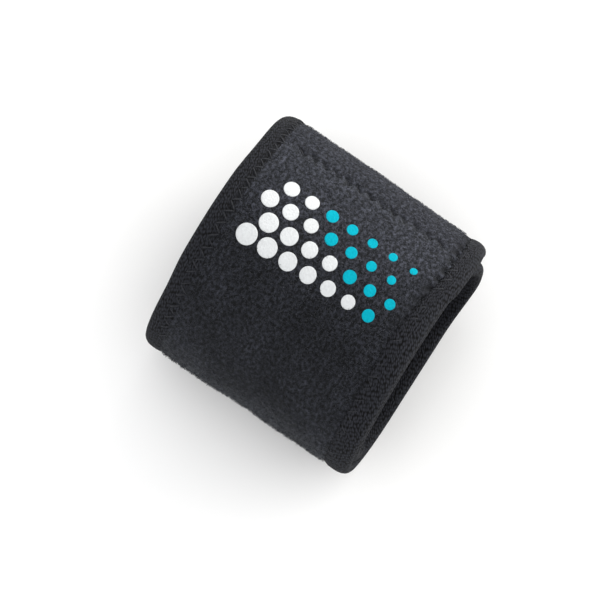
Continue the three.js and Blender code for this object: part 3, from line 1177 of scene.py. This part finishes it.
def make_patch():
    """The hook tape: a plate with bevelled edges and its hooks."""
    bottom = PATCH_TOP + PATCH_THICKNESS
    bevel_in, bevel_down = PATCH_BEVEL
    upper = ((PATCH_MIDDLE, PATCH_TOP), (bevel_in, PATCH_TOP), (0.0, PATCH_TOP + bevel_down))
    lower = ((0.0, bottom - bevel_down), (bevel_in, bottom), (PATCH_MIDDLE, bottom))
    rings = upper + lower
    vertices = []
    flat = []
    for shrink, depth in rings:
        s, x = patch_outline(shrink)
        vertices.append(place(s, x, -depth))
        flat.append(flat_points(s, x, depth))
    count = len(vertices[0])
    faces = grid_faces(len(rings), count, close_columns=True).tolist()
    first = np.arange(count)
    last = (len(rings) - 1) * count + first
    for ring, flip in ((first, True), (last, False)):
        for k in range(count // 2 - 1):
            quad = [ring[k], ring[k + 1], ring[count - 2 - k], ring[count - 1 - k]]
            faces.append(quad[::-1] if flip else quad)
    hook_vertices, hook_faces, hook_flat = make_hooks()
    faces += [[k + len(rings) * count for k in face] for face in hook_faces]
    points = np.concatenate([*vertices, hook_vertices])
    flat = np.concatenate([*flat, hook_flat])
    piece = make_piece("hook_tape", points, faces, [HOOKS], flat)
    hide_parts("hook_patch")
    return piece


# The print: a plain field of dots that grow towards one corner

def dot_field():
    """Flat places and sizes of the dots, and whether they are white."""
    dots = []
    for row in range(DOT_ROWS):
        for column in range(DOT_COLUMNS):
            x = (column - (DOT_COLUMNS - 1) / 2 + DOT_STAGGER * (row % 2 - 0.5)) * DOT_PITCH
            s = LENGTH - PRINT_MIDDLE + (row - (DOT_ROWS - 1) / 2) * DOT_ROW_PITCH
            share = DOT_SHRINK[0] * column / (DOT_COLUMNS - 1) + DOT_SHRINK[1] * row / (DOT_ROWS - 1)
            radius = DOT_LARGEST + (DOT_SMALLEST - DOT_LARGEST) * share
            dots.append((s, x, radius, share < DOT_WHITE_SHARE))
    return dots


DOTS = dot_field()


def dot_faces():
    """The faces of one dot: its rings, and fans round the middles of its upper and lower face."""
    ring = np.arange(DOT_SIDES)
    after = np.roll(ring, -1)
    last = (len(DOT_RINGS) - 1) * DOT_SIDES
    upper = np.full(DOT_SIDES, len(DOT_RINGS) * DOT_SIDES)
    rings = grid_faces(len(DOT_RINGS), DOT_SIDES, close_columns=True)
    upper_fan = np.stack([upper, after, ring], axis=-1)
    lower_fan = np.stack([upper + 1, last + ring, last + after], axis=-1)
    return rings, np.concatenate([upper_fan, lower_fan])


def make_dots(name, dots, material):
    angle = np.linspace(0, 2 * math.pi, DOT_SIDES, endpoint=False)
    reach = np.array([share for share, _ in DOT_RINGS])[:, None]
    film = np.repeat([height for _, height in DOT_RINGS], DOT_SIDES)
    rings, fans = dot_faces()
    vertices = []
    flat = []
    faces = []
    for number, (s, x, radius, _) in enumerate(dots):
        dot_s = np.append(s + radius * reach * np.cos(angle), [s, s])
        dot_x = np.append(x + radius * reach * np.sin(angle), [x, x])
        t = outer_face(dot_s, dot_x) + DOT_FILM * np.append(film, [1.0, -1.0])
        vertices.append(place(dot_s, dot_x, t))
        flat.append(flat_points(dot_s, dot_x, t))
        first = number * len(t)
        faces += (first + rings).tolist() + (first + fans).tolist()
    points = np.concatenate(vertices)
    return make_piece(name, points, faces, [material], np.concatenate(flat))


# The pile: short loops that stand out of the face

def make_pile(name):
    """Loops on the face that shows, clear of the tape and the print."""
    count = LOOPS_PER_PIECE
    dot_tree = make_tree([(s, x) for s, x, _, _ in DOTS])
    s = RNG.uniform(EXPOSED_FROM - LOOPS_EARLY, LENGTH - TAPE_WIDTH - LOOP_MARGIN, count)
    x = drawn_to_hem(s, RNG.uniform(-1, 1, count) * (WIDTH / 2 - TAPE_WIDTH - LOOP_MARGIN))
    keep = np.ones(count, dtype=bool)
    for index, (a, b) in enumerate(zip(s, x)):
        _, dot, distance = dot_tree.find((a, b, 0.0))
        keep[index] = distance > DOTS[dot][2] + LOOPS_OFF_DOTS
    s = s[keep]
    x = x[keep]
    turn = RNG.uniform(0, 2 * math.pi, len(s))
    span = RNG.uniform(*LOOP_SPANS, len(s))
    stray = STRAY_RISE * (RNG.uniform(0, 1, len(s)) < STRAY_SHARE)
    rise = RNG.uniform(*LOOP_RISES, len(s)) + stray
    rise *= BASE_RISE + (1 - BASE_RISE) * free_of_base(s)
    rise *= np.where(s > SEAM_AT, PRESSED_RISE, 1.0)
    sway = RNG.normal(0, LOOP_SWAY, (len(s), 2))
    share = np.array(LOOP_SHARES)
    aside = np.array(LOOP_ASIDE)
    path_s = s[:, None] + span[:, None] * np.cos(turn)[:, None] * share + sway[:, :1] * aside
    path_x = x[:, None] + span[:, None] * np.sin(turn)[:, None] * share + sway[:, 1:] * aside
    t = outer_face(s, x)[:, None] + rise[:, None] * np.array(LOOP_HEIGHTS)
    centres = place(path_s, path_x, t)
    radii = np.full(len(share), LOOP_RADIUS * MM)
    vertices, faces = tubes(centres, outward_at(path_s, path_x), radii, LOOP_SIDES)
    flat = np.repeat(flat_points(path_s, path_x, t), LOOP_SIDES, axis=0)
    return make_piece(name, vertices, faces, [FIBRES], flat)


# The stage

def make_floor():
    material, shader = start_material("pale_floor")
    noise_node = add_node(shader, "ShaderNodeTexNoise", {"Scale": 3.0, "Detail": 2.0})
    colour = blend_colours(noise_node.outputs["Fac"], *FLOOR_SHADES)
    set_inputs(shader, {"Base Color": colour, "Roughness": 0.9})
    mesh = bpy.data.meshes.new("floor")
    signs = ((-1, -1), (1, -1), (1, 1), (-1, 1))
    corners = [(a * FLOOR_HALF, b * FLOOR_HALF, 0.0) for a, b in signs]
    mesh.from_pydata(corners, [], [(0, 1, 2, 3)])
    mesh.materials.append(material)
    floor = add_object("floor", mesh)


def camera_axes(azimuth, elevation):
    """Directions right, up and back of a view of the cuff."""
    a = math.radians(azimuth)
    e = math.radians(elevation)
    back = Vector((math.sin(a) * math.cos(e), -math.cos(a) * math.cos(e), math.sin(e)))
    right = Vector((math.cos(a), math.sin(a), 0.0))
    return right, back.cross(right), back


def add_key_light():
    light = bpy.data.lights.new("key", "AREA")
    light.shape = "RECTANGLE"
    light.size = KEY_SIZE[0]
    light.size_y = KEY_SIZE[1]
    light.energy = KEY_ENERGY
    light.color = KEY_COLOUR
    lamp = add_object("key", light)
    _, _, back = camera_axes(KEY_AZIMUTH, KEY_ELEVATION)
    lamp.location = Vector(CAMERA_TARGET) + back * KEY_DISTANCE
    lamp.rotation_euler = back.to_track_quat("Z", "Y").to_euler()


def add_camera():
    right, up, back = camera_axes(CAMERA_AZIMUTH, CAMERA_ELEVATION)
    data = bpy.data.cameras.new("camera")
    data.lens = CAMERA_LENS
    data.sensor_width = SENSOR_WIDTH
    data.clip_end = CLIP_END
    camera = add_object("camera", data)
    target = Vector(CAMERA_TARGET) + right * CAMERA_ASIDE[0] + up * CAMERA_ASIDE[1]
    camera.location = target + back * CAMERA_DISTANCE
    camera.rotation_euler = back.to_track_quat("Z", "Y").to_euler()
    bpy.context.scene.camera = camera


def set_world():
    world = bpy.data.worlds.new("soft_surround")
    world.use_nodes = True
    background = world.node_tree.nodes["Background"]
    set_inputs(background, {"Color": (1.0, 1.0, 1.0, 1.0), "Strength": WORLD_STRENGTH})
    bpy.context.scene.world = world


wrap = make_wrap()
tape = make_tape()
outer_stitches = make_stitches("hem_stitches_outer", HEM_FROM, HEM_TO, 1)
inner_stitches = make_stitches("hem_stitches_inner", HEM_FROM, HEM_TO, -1)
patch_stitches = make_stitches("patch_stitches", SEAM_FROM, SEAM_TO, 1, SEAM_LIE)
patch = make_patch()
white_dots = make_dots("print_white", [dot for dot in DOTS if dot[3]], WHITE_INK)
teal_dots = make_dots("print_teal", [dot for dot in DOTS if not dot[3]], TEAL_INK)
pile = [make_pile(f"pile_loops_{number}") for number in range(LOOP_PIECES)]

make_floor()
set_world()
add_key_light()
add_camera()
bpy.context.scene.view_settings.view_transform = "Standard"
